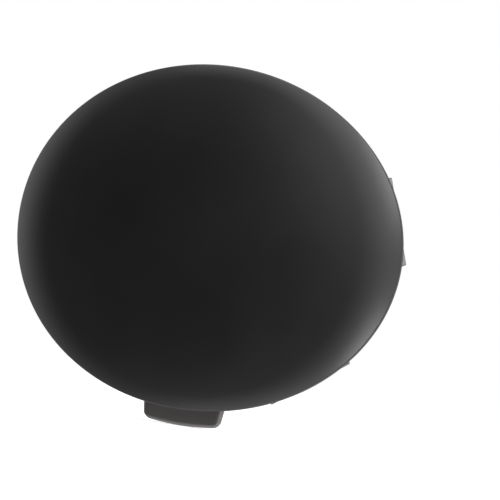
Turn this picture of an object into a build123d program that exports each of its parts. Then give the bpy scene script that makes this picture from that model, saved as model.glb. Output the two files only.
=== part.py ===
from build123d import *

import os
from math import cos, radians, sin, sqrt, tan

# Oval domed tow hook cover: a one-piece plastic moulding that closes the towing eye's opening in a car bumper.
# Millimetres. X runs across the bumper, Y points into the bumper and Z is up, so the domed face looks along -Y.
# The origin is where the cover's axis meets the bumper's outer surface.

# Outline of the face, an ellipse
COVER_WIDTH = 80.0
COVER_HEIGHT = 70.0

# Domed face: a round crown that rolls over towards its edge, cut to the outline. The slope is that at the top.
CROWN_RADIUS = 100.0
ROLL_RADIUS = 20.0
EDGE_SLOPE = 28.0
EDGE_ROUND = 0.5
RIM_LAND = 2.2
WALL = 2.5

# Bumper skin: the rim lies on it, the tongue and the clips reach behind it
BUMPER_RADIUS = 210.0
SKIN_THICKNESS = 3.0
SKIN_CLEARANCE = 0.2
RIM_OVERLAP = 2.3

# Straight clips round the rim, each placed by the way it faces, in degrees from straight down
SNAP_CLIP_ANGLES = (108.0, 180.0, 252.0)
HOOK_CLIP_ANGLES = (36.0, 324.0)
CLIP_WIDTH = 18.0
CLIP_THICKNESS = 1.8
CLIP_TIP_ROUND = 1.5
BARB_HEIGHT = 1.2
BARB_LAND = 0.6
BARB_CATCH_RISE = 0.7
BARB_LEAD_LENGTH = 3.0
BARB_LEAD_INSET = 0.5

# Tongue at the bottom, which hooks in first
TONGUE_WIDTH = 16.4
TONGUE_TAPER = 7.5
TONGUE_REACH = 3.3
TONGUE_THICKNESS = 2.2
TONGUE_CORNER = 1.3
TONGUE_EDGE_ROUND = 0.8
TONGUE_HEEL_ROUND = 1.2

# Ribs and gussets on the hidden side
RIB_THICKNESS = 1.2
RIB_HEIGHT = 2.4
RIB_RING_INSET = 11.0
GUSSET_THICKNESS = 1.4
GUSSET_LEAN = 35.0
GUSSET_SPACING = 9.0

HALF_WIDTH = COVER_WIDTH / 2
HALF_HEIGHT = COVER_HEIGHT / 2
CATCH_GAP = SKIN_THICKNESS + SKIN_CLEARANCE

# The roll's centre line is a circle round the axis; the drop runs from the crown's apex to the rim's top and bottom
ROLL_CENTRE = HALF_HEIGHT - ROLL_RADIUS * sin(radians(EDGE_SLOPE))
ROLL_DEPTH = CROWN_RADIUS - sqrt((CROWN_RADIUS - ROLL_RADIUS) ** 2 - ROLL_CENTRE ** 2)
DOME_DROP = ROLL_DEPTH - ROLL_RADIUS * cos(radians(EDGE_SLOPE))
APEX = -(DOME_DROP + RIM_LAND)

# Construction solids run from FRONT to REAR, well clear of the cover on both sides
FRONT = 2 * APEX
REAR = HALF_WIDTH


def through_prism(plan):
    """Upright-sided prism on a plan drawn in X and Z."""
    return extrude(Plane.XZ.offset(-REAR) * plan, REAR - FRONT)


def oval_prism(inset):
    """Prism on the outline moved in by inset."""
    return through_prism(Ellipse(HALF_WIDTH - inset, HALF_HEIGHT - inset))


def domed_blank(inset):
    """Oversize round block behind the crown and its roll, with its whole skin moved in by inset."""
    crown = Pos(0, APEX + CROWN_RADIUS, 0) * Sphere(CROWN_RADIUS - inset)
    blank = through_prism(Circle(ROLL_CENTRE + ROLL_RADIUS - inset)) & crown
    return fillet(blank.edges().filter_by(GeomType.CIRCLE).sort_by(Axis.Y)[0], ROLL_RADIUS - inset)


def bumper_core():
    """Space taken up by the bumper, which curves back towards both sides."""
    return Pos(0, BUMPER_RADIUS, 0) * Cylinder(BUMPER_RADIUS, 2 * COVER_HEIGHT)


def rim_station(angle):
    """Point of the outline that faces the given angle, and the plane across the rim there.

    The plane's x runs outwards from the rim and its y runs into the bumper.
    """
    facing = Vector(sin(radians(angle)), 0, -cos(radians(angle)))
    pull = Vector(HALF_WIDTH ** 2 * facing.X, 0, HALF_HEIGHT ** 2 * facing.Z)
    point = pull / sqrt(pull.dot(facing))
    return point, Plane(origin=point, x_dir=facing, z_dir=facing.cross(Vector(0, 1, 0)))


def catch_depth(point):
    """Depth at which a hook standing at the given rim point meets the back of the bumper skin."""
    return BUMPER_RADIUS - sqrt(BUMPER_RADIUS ** 2 - point.X ** 2) + CATCH_GAP


def gussets(plane, arm_inside, top):
    """Pair of triangular webs between the inside of an arm and the shell."""
    run = (top - APEX) * tan(radians(GUSSET_LEAN))
    web = make_face(Polyline((arm_inside, top), (arm_inside, APEX), (arm_inside - run, APEX), close=True))
    left = extrude(plane.offset(-GUSSET_SPACING / 2) * web, GUSSET_THICKNESS / 2, both=True)
    right = extrude(plane.offset(GUSSET_SPACING / 2) * web, GUSSET_THICKNESS / 2, both=True)
    return left + right


def clip(angle):
    """Straight arm with a barb along its outside: sloped catch, narrow land and long lead-in."""
    point, plane = rim_station(angle)
    catch = catch_depth(point)
    outside = -RIM_OVERLAP
    inside = outside - CLIP_THICKNESS
    crest = outside + BARB_HEIGHT
    land_start = catch + BARB_CATCH_RISE
    land_end = land_start + BARB_LAND
    tip = land_end + BARB_LEAD_LENGTH
    section = Polyline(
        (inside, APEX),
        (outside, APEX),
        (outside, catch),
        (crest, land_start),
        (crest, land_end),
        (outside - BARB_LEAD_INSET, tip),
        (inside, tip),
        close=True,
    )
    arm = extrude(plane * make_face(section), CLIP_WIDTH / 2, both=True)
    tip_edges = arm.faces().sort_by(Axis.Y)[-1].edges().filter_by(Axis(point, plane.x_dir))
    arm = fillet(tip_edges, CLIP_TIP_ROUND)
    if angle in HOOK_CLIP_ANGLES:
        arm += gussets(plane, inside, land_start)
    return arm


def tongue():
    """Hook with a tapered, round-cornered blade whose end runs parallel to the rim."""
    point, plane = rim_station(0)
    catch = catch_depth(point)
    outside = -RIM_OVERLAP
    inside = outside - TONGUE_THICKNESS
    back = catch + TONGUE_THICKNESS
    beyond = 2 * TONGUE_REACH
    section = make_face(
        Polyline(
            (inside, APEX),
            (outside, APEX),
            (outside, catch),
            (beyond, catch),
            (beyond, back),
            (inside, back),
            close=True,
        )
    )
    heel = section.vertices().sort_by_distance((inside, back))[0]
    hook = extrude(plane * fillet(heel, TONGUE_HEEL_ROUND), TONGUE_WIDTH, both=True)

    slant = tan(radians(TONGUE_TAPER))
    wide = TONGUE_WIDTH / 2 - 2 * inside * slant
    narrow = TONGUE_WIDTH / 2 - beyond * slant
    plan = make_face(
        Polyline(
            (-wide, point.Z - 2 * inside),
            (wide, point.Z - 2 * inside),
            (narrow, point.Z - beyond),
            (-narrow, point.Z - beyond),
            close=True,
        )
    )
    plan &= Ellipse(HALF_WIDTH + TONGUE_REACH, HALF_HEIGHT + TONGUE_REACH)
    hook &= through_prism(fillet(plan.vertices().sort_by(Axis.Y)[:2], TONGUE_CORNER))

    blade_front = hook.faces().filter_by(Axis.Y).sort_by(lambda face: abs(face.center().Y - catch))[0]
    hook = fillet(blade_front.edges().sort_by(Axis.Z)[:-1], TONGUE_EDGE_ROUND)
    return hook + gussets(plane, inside, catch)


def ribs():
    """Oval ring and cross of even height on the inside of the dome."""
    ring_space = oval_prism(RIB_RING_INSET)
    cross = through_prism(Rectangle(RIB_THICKNESS, COVER_HEIGHT) + Rectangle(COVER_WIDTH, RIB_THICKNESS))
    web = ring_space - oval_prism(RIB_RING_INSET + RIB_THICKNESS) + (cross & ring_space)
    return web & (domed_blank(WALL / 2) - domed_blank(WALL + RIB_HEIGHT))


blank = domed_blank(0)
outline = oval_prism(0)
dome = blank & outline
rim_edges = new_edges(blank, outline, combined=dome)
shell = fillet(rim_edges, EDGE_ROUND) - (domed_blank(WALL) & oval_prism(WALL)) - bumper_core()

fixings = tongue()
for clip_angle in SNAP_CLIP_ANGLES + HOOK_CLIP_ANGLES:
    fixings += clip(clip_angle)

# The roots of the fixings stop half way through the wall of the shell
fixings -= oval_prism(0) - bumper_core() - domed_blank(WALL / 2)

cover = shell + ribs() + fixings

os.makedirs("parts", exist_ok=True)
export_step(cover, "parts/tow_hook_cover.step")
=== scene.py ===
from math import atan2, cos, hypot, pi, radians, sin, sqrt, tan

import bmesh
import bpy
from bpy.props import FloatProperty, FloatVectorProperty, PointerProperty
from mathutils import Matrix, Vector


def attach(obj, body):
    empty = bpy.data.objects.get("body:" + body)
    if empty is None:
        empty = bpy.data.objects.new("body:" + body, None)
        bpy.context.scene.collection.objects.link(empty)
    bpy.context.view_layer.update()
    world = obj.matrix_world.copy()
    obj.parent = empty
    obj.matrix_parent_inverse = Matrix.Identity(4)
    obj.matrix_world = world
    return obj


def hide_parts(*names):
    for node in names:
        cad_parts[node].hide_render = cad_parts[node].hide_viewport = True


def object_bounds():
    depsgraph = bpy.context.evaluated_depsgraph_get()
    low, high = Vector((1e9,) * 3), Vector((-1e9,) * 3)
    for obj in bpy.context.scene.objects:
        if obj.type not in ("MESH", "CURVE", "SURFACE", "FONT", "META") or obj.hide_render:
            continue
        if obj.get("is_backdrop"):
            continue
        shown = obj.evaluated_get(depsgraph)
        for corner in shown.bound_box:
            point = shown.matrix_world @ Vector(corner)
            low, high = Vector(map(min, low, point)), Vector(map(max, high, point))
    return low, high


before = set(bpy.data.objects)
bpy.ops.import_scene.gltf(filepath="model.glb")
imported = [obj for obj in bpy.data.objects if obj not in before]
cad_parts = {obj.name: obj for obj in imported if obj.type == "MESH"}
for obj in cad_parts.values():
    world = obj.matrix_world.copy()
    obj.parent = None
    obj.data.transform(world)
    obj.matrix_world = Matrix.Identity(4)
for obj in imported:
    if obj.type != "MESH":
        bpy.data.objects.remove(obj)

bl_info = {
    "name": "Tow hook cover",
    "version": (1, 0, 0),
    "blender": (4, 5, 0),
    "location": "View3D > Sidebar > Cover",
    "description": "Builds an oval domed tow hook cover in black moulded plastic, with a studio round it",
    "category": "Object",
}

NODE = "tow_hook_cover"

# Ways that the clips face, in degrees from straight down
SNAP_CLIPS = (108, 180, 252)
HOOK_CLIPS = (36, 324)

# Lamps: the setting that holds the brightness, and the width and height in metres. The angles, in degrees, are the
# turn from the right about the way in which the middle of the face mirrors the camera, and the spread from it.
LAMPS = (
    ("wall", 0.40, 0.44, 42, 61),
    ("key", 0.20, 0.30, 36, 92),
    ("low", 0.25, 0.20, -28, 95),
    ("top", 0.50, 0.30, 85, 75),
    ("under", 0.50, 0.30, -75, 73),
)
LAMP_DISTANCE = 0.5
FLOOR_HALF_SIZE = 6
FLOOR_GLOW = 0.55


def length(name, description, default):
    """Property for a length in metres."""
    return FloatProperty(name=name, description=description, default=default, unit="LENGTH",
                         subtype="DISTANCE")


def slope(name, description, default):
    """Property for an angle, given in degrees."""
    return FloatProperty(name=name, description=description, default=radians(default), unit="ROTATION",
                         subtype="ANGLE")


def level(name, description, default):
    """Property for a brightness or a strength."""
    return FloatProperty(name=name, description=description, default=default, min=0)


def tone(name, description, default):
    """Property for a colour."""
    return FloatVectorProperty(name=name, description=description, default=default, subtype="COLOR", size=3,
                               min=0, max=1)


class CoverShape(bpy.types.PropertyGroup):
    """Sizes of the moulding."""

    half_width: length("Half width", "Half the width of the oval outline", 0.040)
    half_height: length("Half height", "Half the height of the oval outline", 0.035)
    crown: length("Crown radius", "Radius of the middle of the domed face", 0.100)
    roll: length("Roll radius", "Radius of the face where it rolls over towards its edge", 0.020)
    edge_slope: slope("Edge slope", "Slope of the face where it meets the rim at the top and bottom", 28)
    edge_round: length("Edge round", "Radius between the face and the side of the rim", 0.0005)
    land: length("Rim land", "Height of the side of the rim at the top and bottom", 0.0022)
    wall: length("Wall", "Thickness of the shell", 0.0025)
    bumper: length("Bumper radius", "Radius of the bumper that the rim lies on", 0.210)
    catch_gap: length("Catch gap", "Depth of the hooks behind the bumper's outer surface", 0.0032)
    overlap: length("Rim overlap", "Distance from the outline to the outside of the tongue and clips", 0.0023)
    clip_width: length("Clip width", "Width of a clip", 0.018)
    clip_thickness: length("Clip thickness", "Thickness of a clip's arm", 0.0018)
    tip_round: length("Clip tip round", "Radius of the corners of a clip's tip", 0.0015)
    barb_height: length("Barb height", "How far a barb stands out from its arm", 0.0012)
    barb_rise: length("Barb catch rise", "Depth over which the catch of a barb slopes out", 0.0007)
    barb_land: length("Barb land", "Length of the crest of a barb", 0.0006)
    barb_lead: length("Barb lead-in", "Length of the lead-in of a barb", 0.0030)
    lead_inset: length("Lead-in inset", "How far the lead-in ends inside the outside of the arm", 0.0005)
    tongue_width: length("Tongue width", "Width of the tongue at the outline", 0.0164)
    tongue_taper: slope("Tongue taper", "Lean of each side of the tongue", 7.5)
    tongue_reach: length("Tongue reach", "How far the tongue reaches past the outline", 0.0033)
    tongue_thickness: length("Tongue thickness", "Thickness of the tongue's arm and blade", 0.0022)
    tongue_corner: length("Tongue corner", "Radius of the corners of the tongue's end", 0.0013)
    tongue_round: length("Tongue edge round", "Radius of the tongue's front edges", 0.0008)
    heel_round: length("Heel round", "Radius where the tongue turns outwards", 0.0012)
    rib_thickness: length("Rib thickness", "Thickness of the ribs behind the face", 0.0012)
    rib_height: length("Rib height", "Height of the ribs behind the face", 0.0024)
    ring_inset: length("Ring inset", "Distance from the outline to the ring of ribs", 0.011)
    gusset_thickness: length("Gusset thickness", "Thickness of a gusset", 0.0014)
    gusset_spacing: length("Gusset spacing", "Distance between the two gussets of a pair", 0.009)
    gusset_lean: slope("Gusset lean", "Lean of the long edge of a gusset", 35)
    soft_edge: length("Soft edge", "Width of the small rounding left on moulded edges", 0.00016)


class CoverFinish(bpy.types.PropertyGroup):
    """Look of the black plastic."""

    dark: tone("Dark", "Darker tone of the face", (0.0095, 0.0087, 0.0088))
    pale: tone("Pale", "Paler tone of the face", (0.0132, 0.0121, 0.0122))
    # Raw tone: partly the plain plastic's own colour, partly painted light, made lighter to stand in for the light
    # that falls on the tongue
    raw_with_painted_light: tone("Raw", "Darker tone of the plain plastic behind the face", (0.105, 0.098, 0.097))
    raw_spread: level("Raw spread", "Paler tone of the plain plastic over its darker tone", 1.3)
    roughness: level("Roughness", "Roughness of the grained face", 0.36)
    raw_roughness: level("Raw roughness", "Roughness of the plain plastic", 0.30)
    grain: level("Grain", "Strength of the fine moulded grain", 0.10)
    grain_pitch: length("Grain pitch", "Size of the grain on the face", 0.00028)


class CoverStage(bpy.types.PropertyGroup):
    """Camera and light."""

    azimuth: slope("Azimuth", "Direction of the camera round the cover", 12.4)
    elevation: slope("Elevation", "Height of the camera above the cover's horizon", -3.0)
    tilt: slope("Tilt", "Turn of the camera about its own axis", -8.8)
    distance: length("Distance", "Distance of the camera from the cover", 0.520)
    lens: level("Lens", "Focal length for a 36 mm sensor", 185.15)
    shift_right: FloatProperty(name="Shift right", description="Sideways shift", default=0.0897)
    shift_up: FloatProperty(name="Shift up", description="Upward shift", default=-0.0249)
    wall: level("Wall", "Brightness of the white wall at the front right", 1.3)
    key: level("Key", "Brightness of the lamp at the upper right", 6.5)
    low: level("Low", "Brightness of the lamp at the lower right", 7.0)
    top: level("Top", "Brightness of the lamp above", 2.2)
    under: level("Under", "Brightness of the lamp below", 1.4)
    tent: level("Tent", "Brightness of the white tent at the sides of the cover", 1.2)
    front: level("Front", "Brightness of the tent's dim side, at the camera", 0.07)
    rear: level("Rear", "Brightness of the tent behind the cover", 0.45)


class CoverSettings(bpy.types.PropertyGroup):
    """All the settings of the cover."""

    shape: PointerProperty(type=CoverShape)
    finish: PointerProperty(type=CoverFinish)
    stage: PointerProperty(type=CoverStage)


def settings():
    """Settings kept in the scene."""
    return bpy.context.scene.tow_hook_cover


class Form:
    """Surfaces of the moulding, worked out from its sizes."""

    def __init__(self, s):
        self.s = s
        self.roll_centre = s.half_height - s.roll * sin(s.edge_slope)
        roll_depth = s.crown - sqrt((s.crown - s.roll) ** 2 - self.roll_centre ** 2)
        self.apex = s.roll * cos(s.edge_slope) - roll_depth - s.land
        self.roll_depth = self.apex + roll_depth

    def dome(self, x, z, inset=0.0):
        """Depth of the domed face, moved in by inset, over a point of the plan."""
        r = hypot(x, z)
        crown = self.s.crown - inset
        if r <= crown * self.roll_centre / (self.s.crown - self.s.roll):
            return self.apex + self.s.crown - sqrt(crown ** 2 - r ** 2)
        return self.roll_depth - sqrt((self.s.roll - inset) ** 2 - (r - self.roll_centre) ** 2)

    def gradient(self, x, z):
        """Slope of the face, along x and along z."""
        step = 1e-6
        along_x = (self.dome(x + step, z) - self.dome(x - step, z)) / (2 * step)
        along_z = (self.dome(x, z + step) - self.dome(x, z - step)) / (2 * step)
        return along_x, along_z

    def middle(self, x, z):
        """Depth of the middle of the shell's wall."""
        return self.dome(x, z, self.s.wall / 2)

    def seat(self, x):
        """Depth of the bumper's outer surface."""
        return self.s.bumper - sqrt(self.s.bumper ** 2 - x ** 2)

    def oval(self, turn, inset=0.0):
        """Point of the outline moved in by inset, in x and z."""
        return (self.s.half_width - inset) * cos(turn), (self.s.half_height - inset) * sin(turn)

    def station(self, angle):
        """Outline point that faces an angle from straight down, and the direction it faces, in x and z."""
        fx, fz = sin(angle), -cos(angle)
        px, pz = self.s.half_width ** 2 * fx, self.s.half_height ** 2 * fz
        pull = sqrt(px * fx + pz * fz)
        return (px / pull, pz / pull), (fx, fz)


class Mesher:
    """Collects rings of points and the faces between them."""

    def __init__(self):
        self.points = []
        self.faces = []

    def add(self, points):
        """Adds points and returns their numbers."""
        start = len(self.points)
        self.points.extend(points)
        return list(range(start, len(self.points)))

    def bridge(self, first, second):
        """Quads between two closed rings of equal count."""
        count = len(first)
        for i in range(count):
            j = (i + 1) % count
            self.faces.append((first[i], first[j], second[j], second[i]))

    def fan(self, ring, tip):
        """Triangles from a closed ring to one point."""
        for i in range(len(ring)):
            self.faces.append((ring[i], ring[(i + 1) % len(ring)], tip))

    def loft(self, rings):
        """Closed body through rings of equal count, with flat ends."""
        numbers = [self.add(ring) for ring in rings]
        for first, second in zip(numbers, numbers[1:]):
            self.bridge(first, second)
        self.faces.append(tuple(reversed(numbers[0])))
        self.faces.append(tuple(numbers[-1]))

    def build(self, name, material, soft_edge=0.0, crease=32):
        """Object made of the collected faces, in one material."""
        mesh = bpy.data.meshes.new(name)
        mesh.from_pydata(self.points, [], self.faces)
        mesh.materials.append(material)
        return moulded(name, mesh, soft_edge, crease)


def moulded(name, mesh, soft_edge=0.0, crease=32):
    """Object with outward faces, softened edges and smooth shading up to the crease angle, in degrees."""
    work = bmesh.new()
    work.from_mesh(mesh)
    bmesh.ops.recalc_face_normals(work, faces=work.faces)
    if soft_edge:
        sharp = [e for e in work.edges if e.is_manifold and e.calc_face_angle() > radians(crease)]
        bmesh.ops.bevel(work, geom=sharp, offset=soft_edge, segments=2, profile=0.5, affect="EDGES",
                        clamp_overlap=True)
    work.to_mesh(mesh)
    work.free()
    mesh.polygons.foreach_set("use_smooth", [True] * len(mesh.polygons))
    mesh.set_sharp_from_angle(angle=radians(crease))
    piece = bpy.data.objects.new(name, mesh)
    bpy.context.scene.collection.objects.link(piece)
    return piece


def join_frame(piece):
    """Fixes a piece to the cover's body."""
    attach(piece, "root")


def grain_group():
    """Node group: mottled tone, roughness offset and fine grain height from the place on the piece."""
    name = "MouldedGrain"
    if name in bpy.data.node_groups:
        return bpy.data.node_groups[name]
    group = bpy.data.node_groups.new(name, "ShaderNodeTree")
    group.interface.new_socket("Pitch", in_out="INPUT", socket_type="NodeSocketFloat").default_value = 0.0003
    for socket in ("Tone", "Roughness Offset", "Grain"):
        group.interface.new_socket(socket, in_out="OUTPUT", socket_type="NodeSocketFloat")
    nodes, links = group.nodes, group.links
    given = nodes.new("NodeGroupInput")
    made = nodes.new("NodeGroupOutput")
    place = nodes.new("ShaderNodeTexCoord")
    broad = nodes.new("ShaderNodeTexNoise")
    broad.inputs["Scale"].default_value = 45
    broad.inputs["Detail"].default_value = 3
    fine = nodes.new("ShaderNodeTexNoise")
    fine.inputs["Detail"].default_value = 2
    density = nodes.new("ShaderNodeMath")
    density.operation = "DIVIDE"
    density.inputs[0].default_value = 1
    spread = nodes.new("ShaderNodeMapRange")
    spread.inputs["From Min"].default_value = 0.3
    spread.inputs["From Max"].default_value = 0.7
    spread.inputs["To Min"].default_value = -0.03
    spread.inputs["To Max"].default_value = 0.03
    mottle = nodes.new("ShaderNodeMapRange")
    mottle.inputs["From Min"].default_value = 0.25
    mottle.inputs["From Max"].default_value = 0.75
    links.new(place.outputs["Object"], broad.inputs["Vector"])
    links.new(place.outputs["Object"], fine.inputs["Vector"])
    links.new(given.outputs["Pitch"], density.inputs[1])
    links.new(density.outputs[0], fine.inputs["Scale"])
    links.new(broad.outputs["Fac"], mottle.inputs["Value"])
    links.new(broad.outputs["Fac"], spread.inputs["Value"])
    links.new(mottle.outputs["Result"], made.inputs["Tone"])
    links.new(spread.outputs["Result"], made.inputs["Roughness Offset"])
    links.new(fine.outputs["Fac"], made.inputs["Grain"])
    return group


def plastic(name, dark, pale, roughness, grain, pitch):
    """Moulded plastic with a mottled tone and a fine grain."""
    if name in bpy.data.materials:
        return bpy.data.materials[name]
    material = bpy.data.materials.new(name)
    material.use_nodes = True
    nodes, links = material.node_tree.nodes, material.node_tree.links
    shader = nodes["Principled BSDF"]
    texture = nodes.new("ShaderNodeGroup")
    texture.node_tree = grain_group()
    texture.inputs["Pitch"].default_value = pitch
    tint = nodes.new("ShaderNodeMix")
    tint.data_type = "RGBA"
    tint.inputs["A"].default_value = (*dark, 1)
    tint.inputs["B"].default_value = (*pale, 1)
    rough = nodes.new("ShaderNodeMath")
    rough.inputs[1].default_value = roughness
    bump = nodes.new("ShaderNodeBump")
    bump.inputs["Strength"].default_value = grain
    bump.inputs["Distance"].default_value = pitch / 6
    shader.inputs["IOR"].default_value = 1.49
    links.new(texture.outputs["Tone"], tint.inputs["Factor"])
    links.new(tint.outputs["Result"], shader.inputs["Base Color"])
    links.new(texture.outputs["Roughness Offset"], rough.inputs[0])
    links.new(rough.outputs[0], shader.inputs["Roughness"])
    links.new(texture.outputs["Grain"], bump.inputs["Height"])
    links.new(bump.outputs["Normal"], shader.inputs["Normal"])
    return material


def face_plastic():
    """Grained plastic of the domed face."""
    f = settings().finish
    return plastic("face_plastic", f.dark, f.pale, f.roughness, f.grain, f.grain_pitch)


def back_plastic():
    """Plainer plastic of the hidden side, the tongue and the clips, painted lighter than real raw plastic to stand
    in for the light that falls on the tongue.
    """
    f = settings().finish
    pale = [f.raw_spread * channel for channel in f.raw_with_painted_light]
    return plastic("back_plastic", f.raw_with_painted_light, pale, f.raw_roughness, f.grain / 3, f.grain_pitch / 2)


def rounded_edge(form, turn, steps):
    """Edge round at one turn: where the face ends, the arc down to the side, and the way outwards."""
    s = form.s
    x, z = form.oval(turn)
    across_x, across_z = x / s.half_width ** 2, z / s.half_height ** 2
    size = hypot(across_x, across_z)
    nx, nz = across_x / size, across_z / size
    inset = s.edge_round / 2
    for _ in range(4):
        gx, gz = form.gradient(x - inset * nx, z - inset * nz)
        lean = atan2(1, gx * nx + gz * nz)
        inset = s.edge_round * (1 - cos(lean))
    face_end = (x - inset * nx, z - inset * nz)
    depth = form.dome(*face_end) + s.edge_round * sin(lean)
    arc = []
    for k in range(1, steps + 1):
        angle = lean * (1 - k / steps)
        out = s.edge_round * (cos(angle) - 1)
        arc.append((x + out * nx, depth - s.edge_round * sin(angle), z + out * nz))
    return face_end, arc, (nx, nz)


class COVER_OT_shell(bpy.types.Operator):
    """Makes the domed oval shell, grained outside and plain inside"""

    bl_idname = "cover.shell"
    bl_label = "Shell"

    def execute(self, context):
        s = settings().shape
        form = Form(s)
        around, across, round_steps = 288, 46, 5
        turns = [2 * pi * i / around for i in range(around)]
        face_ends, arcs, ways_out = zip(*[rounded_edge(form, turn, round_steps) for turn in turns])
        outline = [form.oval(turn) for turn in turns]
        inner = [form.oval(turn, s.wall) for turn in turns]
        soft = s.soft_edge

        rings = []
        for row in range(1, across + 1):
            share = sin(0.5 * pi * row / across) ** 0.85
            rings.append([(share * x, form.dome(share * x, share * z), share * z) for x, z in face_ends])
        rings += [list(ring) for ring in zip(*arcs)]
        rings.append([(x, form.seat(x) - soft, z) for x, z in outline])
        rings.append([(x - soft * nx, form.seat(x), z - soft * nz)
                      for (x, z), (nx, nz) in zip(outline, ways_out)])
        outside_rows = len(rings)
        rings.append([(x, form.seat(x), z) for x, z in inner])
        for row in range(across):
            share = cos(0.5 * pi * row / across)
            rings.append([(share * x, form.dome(share * x, share * z, s.wall), share * z) for x, z in inner])

        mesher = Mesher()
        front = mesher.add([(0, form.apex, 0)])[0]
        numbers = [mesher.add(ring) for ring in rings]
        back = mesher.add([(0, form.apex + s.wall, 0)])[0]
        mesher.fan(numbers[0], front)
        for first, second in zip(numbers, numbers[1:]):
            mesher.bridge(first, second)
        mesher.fan(numbers[-1], back)
        piece = mesher.build("cover_shell", face_plastic(), crease=40)
        piece.data.materials.append(back_plastic())
        for polygon in piece.data.polygons[around * outside_rows:]:
            polygon.material_index = 1
        join_frame(piece)
        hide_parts(NODE)
        return {"FINISHED"}


def gusset_pair(mesher, form, angle, arm_inside, top):
    """Adds a pair of triangular webs between the inside of an arm and the shell."""
    s = form.s
    (px, pz), (fx, fz) = form.station(angle)
    rooted = arm_inside + s.clip_thickness / 2
    foot_steps, halvings = 8, 40
    for side in (-0.5, 0.5):
        middle_x = px - side * s.gusset_spacing * fz
        middle_z = pz + side * s.gusset_spacing * fx

        def wall(u):
            """Depth of the middle of the wall under the web."""
            return form.middle(middle_x + u * fx, middle_z + u * fz)

        # The long edge starts at the arm's top and ends where it meets the wall
        near, far = arm_inside - (top - form.apex) * tan(s.gusset_lean), arm_inside
        for _ in range(halvings):
            u = (near + far) / 2
            if top - (arm_inside - u) / tan(s.gusset_lean) < wall(u):
                near = u
            else:
                far = u
        foot = [far + (rooted - far) * i / foot_steps for i in range(foot_steps + 1)]
        outline = [(rooted, top), (arm_inside, top)] + [(u, wall(u)) for u in foot]
        rings = []
        for shift in (-s.gusset_thickness / 2, s.gusset_thickness / 2):
            rings.append([(middle_x + u * fx - shift * fz, depth, middle_z + u * fz + shift * fx)
                          for u, depth in outline])
        mesher.loft(rings)


class COVER_OT_clips(bpy.types.Operator):
    """Makes the five straight clips with their barbs, and the gussets of the two lower ones"""

    bl_idname = "cover.clips"
    bl_label = "Clips"

    def execute(self, context):
        s = settings().shape
        form = Form(s)
        mesher = Mesher()
        half = s.clip_width / 2
        corner = [half - s.tip_round * (1 - sin(0.5 * pi * i / 5)) for i in range(6)]
        spots = [half - s.tip_round - (2 * half - 2 * s.tip_round) * i / 10 for i in range(11)]
        across = [*reversed(corner[1:]), *spots, *[-c for c in corner[1:]]]
        outside = -s.overlap
        inside = outside - s.clip_thickness
        crest = outside + s.barb_height
        for degrees in sorted(SNAP_CLIPS + HOOK_CLIPS):
            (px, pz), (fx, fz) = form.station(radians(degrees))
            catch = form.seat(px) + s.catch_gap
            land_start = catch + s.barb_rise
            land_end = land_start + s.barb_land
            rings = []
            for spot in across:
                beyond = max(abs(spot) - (half - s.tip_round), 0)
                cut = s.tip_round - sqrt(max(s.tip_round ** 2 - beyond ** 2, 0))
                tip = land_end + s.barb_lead - cut
                lead = crest - (s.barb_height + s.lead_inset) * (tip - land_end) / s.barb_lead
                # Without a depth, a point lies in the middle of the shell's wall
                section = [(inside, None), (outside, None), (outside, catch), (crest, land_start),
                           (crest, land_end), (lead, tip), (inside, tip)]
                ring = []
                for u, depth in section:
                    x = px + u * fx - spot * fz
                    z = pz + u * fz + spot * fx
                    ring.append((x, form.middle(x, z) if depth is None else depth, z))
                rings.append(ring)
            mesher.loft(rings)
            if degrees in HOOK_CLIPS:
                gusset_pair(mesher, form, radians(degrees), inside, land_start)
        join_frame(mesher.build("clips", back_plastic(), s.soft_edge, crease=38))
        return {"FINISHED"}


class COVER_OT_tongue(bpy.types.Operator):
    """Makes the tapered tongue at the bottom, with its gussets"""

    bl_idname = "cover.tongue"
    bl_label = "Tongue"

    def execute(self, context):
        s = settings().shape
        form = Form(s)
        mesher = Mesher()
        outside = -s.overlap
        inside = outside - s.tongue_thickness
        catch = s.catch_gap
        back = catch + s.tongue_thickness
        wide, tall = s.half_width + s.tongue_reach, s.half_height + s.tongue_reach

        def half_width(u):
            """Half the tongue's width, at a distance past the outline."""
            return s.tongue_width / 2 - u * tan(s.tongue_taper)

        def dip(distance, radius):
            """Depth lost to a round, at a distance from its edge."""
            short = min(max(radius - distance, 0), radius)
            return radius - sqrt(radius ** 2 - short ** 2)

        rounding = [1 - cos(0.5 * pi * i / 6) for i in range(7)]
        edge = s.tongue_round
        reach = s.tongue_corner / half_width(s.tongue_reach)
        corner = [1 - reach * (1 - sin(0.5 * pi * i / 8)) for i in range(9)]
        middle = [(1 - reach) * (1 - 2 * i / 14) for i in range(1, 14)]
        shares = [*reversed(corner), *middle, *[-share for share in corner]]
        rings = []
        for share in shares:
            end_x = share * half_width(s.tongue_reach)
            end = tall * sqrt(1 - (end_x / wide) ** 2) - s.half_height
            end -= dip((1 - abs(share)) * half_width(end), s.tongue_corner)
            side = (1 - abs(share)) * half_width(end)
            # Without a depth, a point lies in the middle of the shell's wall
            section = [(inside, None), (outside, None)]
            flat = [outside + (end - edge - outside) * i / 4 for i in range(5)]
            for u in flat + [end - edge * r for r in reversed(rounding[:-1])]:
                section.append((u, catch + dip(min(side, end - u), edge)))
            section += [(end, back), ((inside + end) / 2, back)]
            for i in range(7):
                angle = 0.5 * pi * i / 6
                in_from_heel = s.heel_round * (1 - sin(angle))
                section.append((inside + in_from_heel, back - s.heel_round * (1 - cos(angle))))
            ring = []
            for u, depth in section:
                x, z = share * half_width(u), -s.half_height - u
                ring.append((x, form.middle(x, z) if depth is None else depth, z))
            rings.append(ring)
        mesher.loft(rings)
        gusset_pair(mesher, form, 0, inside, catch)
        join_frame(mesher.build("tongue", back_plastic(), s.soft_edge, crease=38))
        return {"FINISHED"}


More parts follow.
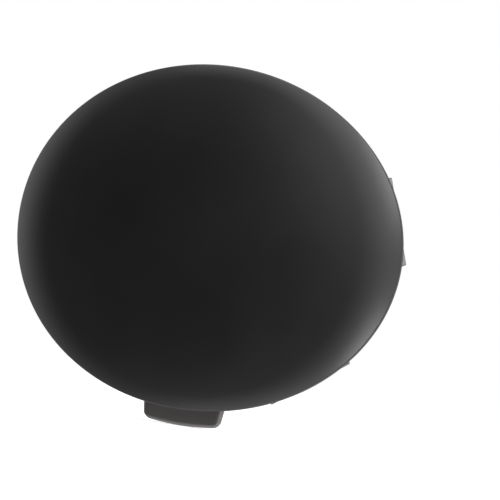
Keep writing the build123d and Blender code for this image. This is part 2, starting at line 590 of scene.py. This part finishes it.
def rib_tree():
    """Node tree: sweeps an upright rectangular section along lines."""
    tree = bpy.data.node_groups.new("RibSweep", "GeometryNodeTree")
    tree.interface.new_socket("Lines", in_out="INPUT", socket_type="NodeSocketGeometry")
    tree.interface.new_socket("Thickness", in_out="INPUT", socket_type="NodeSocketFloat")
    tree.interface.new_socket("Depth", in_out="INPUT", socket_type="NodeSocketFloat")
    tree.interface.new_socket("Plastic", in_out="INPUT", socket_type="NodeSocketMaterial")
    tree.interface.new_socket("Ribs", in_out="OUTPUT", socket_type="NodeSocketGeometry")
    nodes, links = tree.nodes, tree.links
    given = nodes.new("NodeGroupInput")
    made = nodes.new("NodeGroupOutput")
    path = nodes.new("GeometryNodeMeshToCurve")
    upright = nodes.new("GeometryNodeSetCurveNormal")
    upright.mode = "FREE"
    upright.inputs["Normal"].default_value = (0, 1, 0)
    section = nodes.new("GeometryNodeCurvePrimitiveQuadrilateral")
    sweep = nodes.new("GeometryNodeCurveToMesh")
    sweep.inputs["Fill Caps"].default_value = True
    realise = nodes.new("GeometryNodeRealizeInstances")
    paint = nodes.new("GeometryNodeSetMaterial")
    links.new(given.outputs["Lines"], path.inputs["Mesh"])
    links.new(path.outputs["Curve"], upright.inputs["Curve"])
    links.new(given.outputs["Depth"], section.inputs["Width"])
    links.new(given.outputs["Thickness"], section.inputs["Height"])
    links.new(upright.outputs["Curve"], sweep.inputs["Curve"])
    links.new(section.outputs["Curve"], sweep.inputs["Profile Curve"])
    links.new(sweep.outputs["Mesh"], realise.inputs["Geometry"])
    links.new(realise.outputs["Geometry"], paint.inputs["Geometry"])
    links.new(given.outputs["Plastic"], paint.inputs["Material"])
    links.new(paint.outputs["Geometry"], made.inputs["Ribs"])
    return tree


def swept(name, points, edges, values):
    """Plain mesh of ribs along the given lines."""
    lines = bpy.data.meshes.new(name)
    lines.from_pydata(points, edges, [])
    holder = bpy.data.objects.new(name, lines)
    bpy.context.scene.collection.objects.link(holder)
    sweep = holder.modifiers.new("RibSweep", "NODES")
    sweep.node_group = rib_tree()
    for socket in sweep.node_group.interface.items_tree:
        if socket.name in values:
            sweep[socket.identifier] = values[socket.name]
    view = bpy.context.evaluated_depsgraph_get()
    mesh = bpy.data.meshes.new_from_object(holder.evaluated_get(view))
    bpy.data.objects.remove(holder)
    return mesh


class COVER_OT_ribs(bpy.types.Operator):
    """Makes the ring and the cross of ribs behind the face"""

    bl_idname = "cover.ribs"
    bl_label = "Ribs"

    def execute(self, context):
        s = settings().shape
        form = Form(s)
        root, top = s.wall / 2, s.wall + s.rib_height
        inset = s.ring_inset + s.rib_thickness / 2
        around, along = 192, 40
        plan = [form.oval(2 * pi * i / around, inset) for i in range(around)]
        edges = [(i, (i + 1) % around) for i in range(around)]
        for reach_x, reach_z in ((s.half_width - inset, 0), (0, s.half_height - inset)):
            edges += [(len(plan) + i, len(plan) + i + 1) for i in range(along)]
            shares = [2 * i / along - 1 for i in range(along + 1)]
            plan += [(reach_x * share, reach_z * share) for share in shares]
        points = [(x, form.dome(x, z, (root + top) / 2), z) for x, z in plan]
        values = {"Thickness": s.rib_thickness, "Depth": top - root, "Plastic": back_plastic()}
        join_frame(moulded("ribs", swept("rib_lines", points, edges, values), s.soft_edge, crease=50))
        return {"FINISHED"}


def floor_white():
    """Pale matte surface that the camera sees as white outside the shadow."""
    material = bpy.data.materials.new("floor_white")
    material.use_nodes = True
    nodes, links = material.node_tree.nodes, material.node_tree.links
    shader = nodes["Principled BSDF"]
    shader.inputs["Base Color"].default_value = (0.82, 0.82, 0.82, 1)
    shader.inputs["Roughness"].default_value = 0.9
    shader.inputs["Emission Color"].default_value = (1, 1, 1, 1)
    path = nodes.new("ShaderNodeLightPath")
    glow = nodes.new("ShaderNodeMath")
    glow.operation = "MULTIPLY"
    glow.inputs[1].default_value = FLOOR_GLOW
    links.new(path.outputs["Is Camera Ray"], glow.inputs[0])
    links.new(glow.outputs[0], shader.inputs["Emission Strength"])
    return material


def lay_floor(height):
    """Floor that takes the shadow; the lamps and the tent light the cover through it."""
    work = bmesh.new()
    bmesh.ops.create_grid(work, x_segments=1, y_segments=1, size=FLOOR_HALF_SIZE)
    bmesh.ops.translate(work, vec=(0, 0, height), verts=work.verts)
    mesh = bpy.data.meshes.new("floor")
    work.to_mesh(mesh)
    work.free()
    mesh.materials.append(floor_white())
    floor = bpy.data.objects.new("floor", mesh)
    bpy.context.scene.collection.objects.link(floor)
    floor.visible_diffuse = False
    floor.visible_glossy = False
    floor.visible_shadow = False
    floor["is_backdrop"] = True


def way_to(azimuth, elevation):
    """Direction from the cover, by angles round it and above its horizon."""
    flat = cos(elevation)
    return Vector((sin(azimuth) * flat, -cos(azimuth) * flat, sin(elevation)))


def light_tent(s, axis):
    """World that is white for the camera, and a tent for the cover: dim along the axis and bright at the sides."""
    world = bpy.data.worlds.new("Studio")
    world.use_nodes = True
    nodes, links = world.node_tree.nodes, world.node_tree.links
    background = nodes["Background"]
    background.inputs["Color"].default_value = (1, 1, 1, 1)
    way = nodes.new("ShaderNodeTexCoord")
    facing = nodes.new("ShaderNodeVectorMath")
    facing.operation = "DOT_PRODUCT"
    facing.inputs[1].default_value = axis
    # From 0 along the axis to 1 behind the cover
    turned = nodes.new("ShaderNodeMath")
    turned.operation = "MULTIPLY_ADD"
    turned.inputs[1].default_value = -0.5
    turned.inputs[2].default_value = 0.5
    tent = nodes.new("ShaderNodeFloatCurve")
    bend = tent.mapping.curves[0]
    bend.points[0].location = (0, s.front)
    bend.points[1].location = (1, s.rear)
    for angle, brightness in ((35, s.front), (95, s.tent), (125, s.rear)):
        bend.points.new((1 - cos(radians(angle))) / 2, brightness)
    tent.mapping.clip_max_y = 2
    tent.mapping.update()
    path = nodes.new("ShaderNodeLightPath")
    seen = nodes.new("ShaderNodeMix")
    seen.inputs["B"].default_value = 1.0
    links.new(way.outputs["Generated"], facing.inputs[0])
    links.new(facing.outputs["Value"], turned.inputs[0])
    links.new(turned.outputs[0], tent.inputs["Value"])
    links.new(tent.outputs["Value"], seen.inputs["A"])
    links.new(path.outputs["Is Camera Ray"], seen.inputs["Factor"])
    links.new(seen.outputs["Result"], background.inputs["Strength"])
    bpy.context.scene.world = world


def soft_lamp(name, brightness, width, height, axis, turn, spread):
    """Rectangular lamp that looks at the cover, spread from an axis and turned about it from the right."""
    right = Vector((0, 0, 1)).cross(axis).normalized()
    side = cos(turn) * right + sin(turn) * axis.cross(right)
    way = cos(spread) * axis + sin(spread) * side
    lamp = bpy.data.lights.new(name, "AREA")
    lamp.shape = "RECTANGLE"
    lamp.size, lamp.size_y = width, height
    lamp.energy = brightness * pi * width * height
    holder = bpy.data.objects.new(name, lamp)
    holder.location = way * LAMP_DISTANCE
    holder.rotation_euler = (-way).to_track_quat("-Z", "Y").to_euler()
    holder.visible_camera = False
    bpy.context.scene.collection.objects.link(holder)


def aim_camera(s):
    """Camera at the photo's angle, tilted about its own axis."""
    back = way_to(s.azimuth, s.elevation)
    right = Vector((cos(s.azimuth), sin(s.azimuth), 0))
    up = back.cross(right)
    right, up = right * cos(s.tilt) - up * sin(s.tilt), right * sin(s.tilt) + up * cos(s.tilt)
    camera = bpy.data.cameras.new("camera")
    camera.lens = s.lens
    camera.sensor_width = 36
    camera.shift_x = s.shift_right
    camera.shift_y = s.shift_up
    camera.clip_start = 0.01
    pose = Matrix((right, up, back)).transposed().to_4x4()
    pose.translation = back * s.distance
    holder = bpy.data.objects.new("camera", camera)
    holder.matrix_world = pose
    scene = bpy.context.scene
    scene.collection.objects.link(holder)
    scene.camera = holder


class COVER_OT_stage(bpy.types.Operator):
    """Makes the floor, the tent, the lamps and the camera"""

    bl_idname = "cover.stage"
    bl_label = "Stage"

    def execute(self, context):
        s = settings().stage
        mirrored = way_to(-s.azimuth, -s.elevation)
        lay_floor(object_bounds()[0].z)
        light_tent(s, mirrored)
        for name, width, height, turn, spread in LAMPS:
            soft_lamp(name, getattr(s, name), width, height, mirrored, radians(turn), radians(spread))
        aim_camera(s)
        context.scene.view_settings.view_transform = "Standard"
        return {"FINISHED"}


class COVER_PT_panel(bpy.types.Panel):
    """Sidebar list of what the add-on makes"""

    bl_label = "Tow hook cover"
    bl_idname = "COVER_PT_panel"
    bl_space_type = "VIEW_3D"
    bl_region_type = "UI"
    bl_category = "Cover"

    def draw(self, context):
        for operator in OPERATORS:
            self.layout.operator(operator.bl_idname)


OPERATORS = (COVER_OT_shell, COVER_OT_clips, COVER_OT_tongue, COVER_OT_ribs, COVER_OT_stage)
CLASSES = (CoverShape, CoverFinish, CoverStage, CoverSettings, *OPERATORS, COVER_PT_panel)


def register():
    for cls in CLASSES:
        bpy.utils.register_class(cls)
    bpy.types.Scene.tow_hook_cover = PointerProperty(type=CoverSettings)


def unregister():
    del bpy.types.Scene.tow_hook_cover
    for cls in reversed(CLASSES):
        bpy.utils.unregister_class(cls)


def main():
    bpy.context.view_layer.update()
    register()
    bpy.ops.cover.shell()
    bpy.ops.cover.clips()
    bpy.ops.cover.tongue()
    bpy.ops.cover.ribs()
    bpy.ops.cover.stage()


if __name__ == "__main__":
    main()
